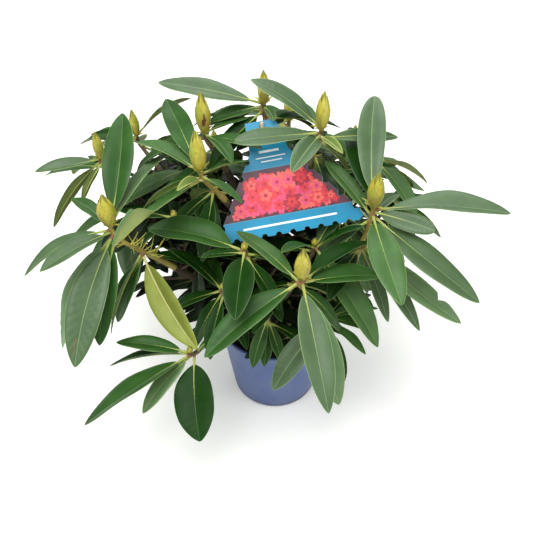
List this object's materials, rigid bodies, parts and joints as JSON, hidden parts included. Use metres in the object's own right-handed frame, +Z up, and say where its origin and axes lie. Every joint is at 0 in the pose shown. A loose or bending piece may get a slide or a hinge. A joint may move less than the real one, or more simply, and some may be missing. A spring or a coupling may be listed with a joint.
{
  "type": "potted rhododendron",
  "caption": "Evergreen shrub with whorls of long leaves and pointed flower buds, growing in a plain round nursery pot with a flared label card on a stick.",
  "frame": {"origin": "middle of the pot's flat underside", "axes": "+Z up along the pot's axis, -Y towards the plant's front, where the label card faces, +X to the right seen from the front"},
  "size_m": [0.5579, 0.5513, 0.462],
  "materials": {
    "leaf": "satin",
    "bark": "matte",
    "pot": "satin",
    "soil": "matte",
    "card": "satin",
    "stick": "matte"
  },
  "bodies": {
    "root": {"pot": "pot", "soil": "soil", "label_card": "card", "label_stick": "stick", "trunk": "bark", "leader": "bark", "bough_front": "bark", "bough_right": "bark", "bough_left": "bark", "bough_middle": "bark", "bough_top_right": "bark", "bough_top_left": "bark", "bough_left_back": "bark", "bough_low_left": "bark", "bough_inner_left": "bark", "bough_inner_low": "bark", "bough_inner_right": "bark", "bough_mid_left": "bark", "bough_mid_right": "bark", "bough_low_right": "bark", "bough_low_front": "bark", "bough_right_back": "bark", "bough_side_right": "bark", "bough_back_left": "bark", "bough_inner_back": "bark", "bough_back": "bark", "bough_back_right": "bark", "bough_back_low": "bark", "bough_side_left": "bark", "shoot_front": "leaf", "shoot_right": "leaf", "shoot_left": "leaf", "shoot_middle": "leaf", "shoot_top_right": "leaf", "shoot_top": "leaf", "shoot_top_left": "leaf", "shoot_left_back": "leaf", "shoot_low_left": "leaf", "shoot_inner_left": "leaf", "shoot_inner_low": "leaf", "shoot_inner_right": "leaf", "shoot_mid_left": "leaf", "shoot_mid_right": "leaf", "shoot_low_right": "leaf", "shoot_low_front": "leaf", "shoot_right_back": "leaf", "shoot_side_right": "leaf", "shoot_back_left": "leaf", "shoot_inner_back": "leaf", "shoot_back": "leaf", "shoot_back_right": "leaf", "shoot_back_low": "leaf", "shoot_side_left": "leaf"}
  },
  "joints": []
}
